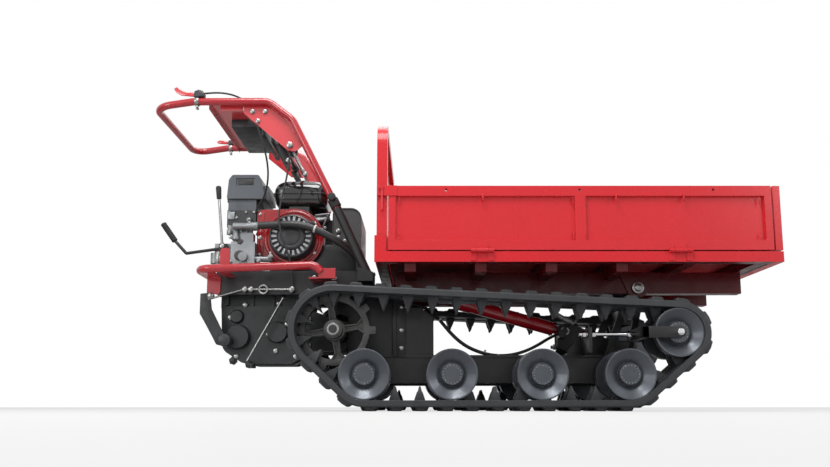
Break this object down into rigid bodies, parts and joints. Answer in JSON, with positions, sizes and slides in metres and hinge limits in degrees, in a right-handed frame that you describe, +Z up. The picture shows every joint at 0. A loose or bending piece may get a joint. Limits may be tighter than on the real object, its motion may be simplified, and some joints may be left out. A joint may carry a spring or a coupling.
{
  "type": "crawler carrier",
  "caption": "Walk-behind tracked mini carrier with a petrol engine, tipping drop-side load bed, lift cylinder and control handlebar.",
  "frame": {"origin": "on the floor under the middle of the whole machine's box", "axes": "+X forward to the dump end, +Y to the carrier's left, +Z up"},
  "size_m": [2.322, 0.832, 1.2295],
  "materials": {
    "red_paint": "gloss",
    "dark_red_paint": "satin",
    "black_paint": "satin",
    "cast_grey": "rough",
    "track_rubber": "matt",
    "zinc": "satin",
    "alloy": "satin",
    "black_plastic": "satin",
    "hose_rubber": "satin",
    "tank_paint": "gloss"
  },
  "bodies": {
    "chassis": {"track_right": "track_rubber", "track_left": "track_rubber", "sprocket_right": "cast_grey", "sprocket_left": "cast_grey", "rollers_right": "cast_grey", "rollers_left": "cast_grey", "idler_right": "cast_grey", "idler_left": "cast_grey", "track_beam_right": "black_paint", "track_beam_left": "black_paint", "tensioner_right": "zinc", "tensioner_left": "zinc", "cross_members": "black_paint", "front_tower": "black_paint", "rear_tower": "black_paint", "engine_deck": "black_paint", "guard_rail": "red_paint", "gearbox": "cast_grey", "gearbox_covers": "cast_grey", "shift_linkage": "zinc", "engine_block": "alloy", "fan_shroud": "red_paint", "recoil_starter": "black_plastic", "fuel_tank": "tank_paint", "air_filter": "black_plastic", "muffler": "black_paint", "carburettor": "black_plastic", "hydraulic_valve": "alloy", "valve_levers": "zinc", "oil_tank": "tank_paint", "handlebar": "red_paint", "handle_post_right": "black_paint", "handle_post_left": "black_paint", "console": "red_paint", "hand_levers": "black_paint", "hydraulic_hoses": "hose_rubber", "control_cables": "hose_rubber"},
    "bed": {"bed_frame": "dark_red_paint", "bed_floor": "red_paint", "headboard": "red_paint"},
    "side_gate_right": {"side_gate_right": "red_paint"},
    "side_gate_left": {"side_gate_left": "red_paint"},
    "front_gate": {"front_gate": "red_paint"},
    "lift_barrel": {"lift_barrel": "red_paint"},
    "lift_rod": {"lift_rod": "zinc"}
  },
  "joints": [
    {"name": "bed_tip", "type": "hinge", "parent": "chassis", "child": "bed", "pos_m": [0.686, 0, 0.46], "axis": [0, 1, 0], "range_deg": [0, 45]},
    {"name": "lift_swing", "type": "hinge", "parent": "chassis", "child": "lift_barrel", "pos_m": [0.44, 0, 0.313], "axis": [0, 1, 0], "range_deg": [0, 51.8]},
    {"name": "lift_stroke", "type": "slide", "parent": "lift_barrel", "child": "lift_rod", "axis": [-0.9616, 0, 0.2745], "range_m": [0, 0.2114]},
    {"name": "side_gate_right_drop", "type": "hinge", "parent": "bed", "child": "side_gate_right", "pos_m": [0.433, -0.409, 0.56], "axis": [1, 0, 0], "range_deg": [0, 180]},
    {"name": "side_gate_left_drop", "type": "hinge", "parent": "bed", "child": "side_gate_left", "pos_m": [0.433, 0.409, 0.56], "axis": [-1, 0, 0], "range_deg": [0, 180]},
    {"name": "front_gate_drop", "type": "hinge", "parent": "bed", "child": "front_gate", "pos_m": [1.154, 0, 0.56], "axis": [0, 1, 0], "range_deg": [0, 90]}
  ],
  "couplings": [
    {"joint": "lift_swing", "follows": "bed_tip", "ratio": 1.1397},
    {"joint": "lift_stroke", "follows": "bed_tip", "m_per_rad": 0.26664}
  ]
}
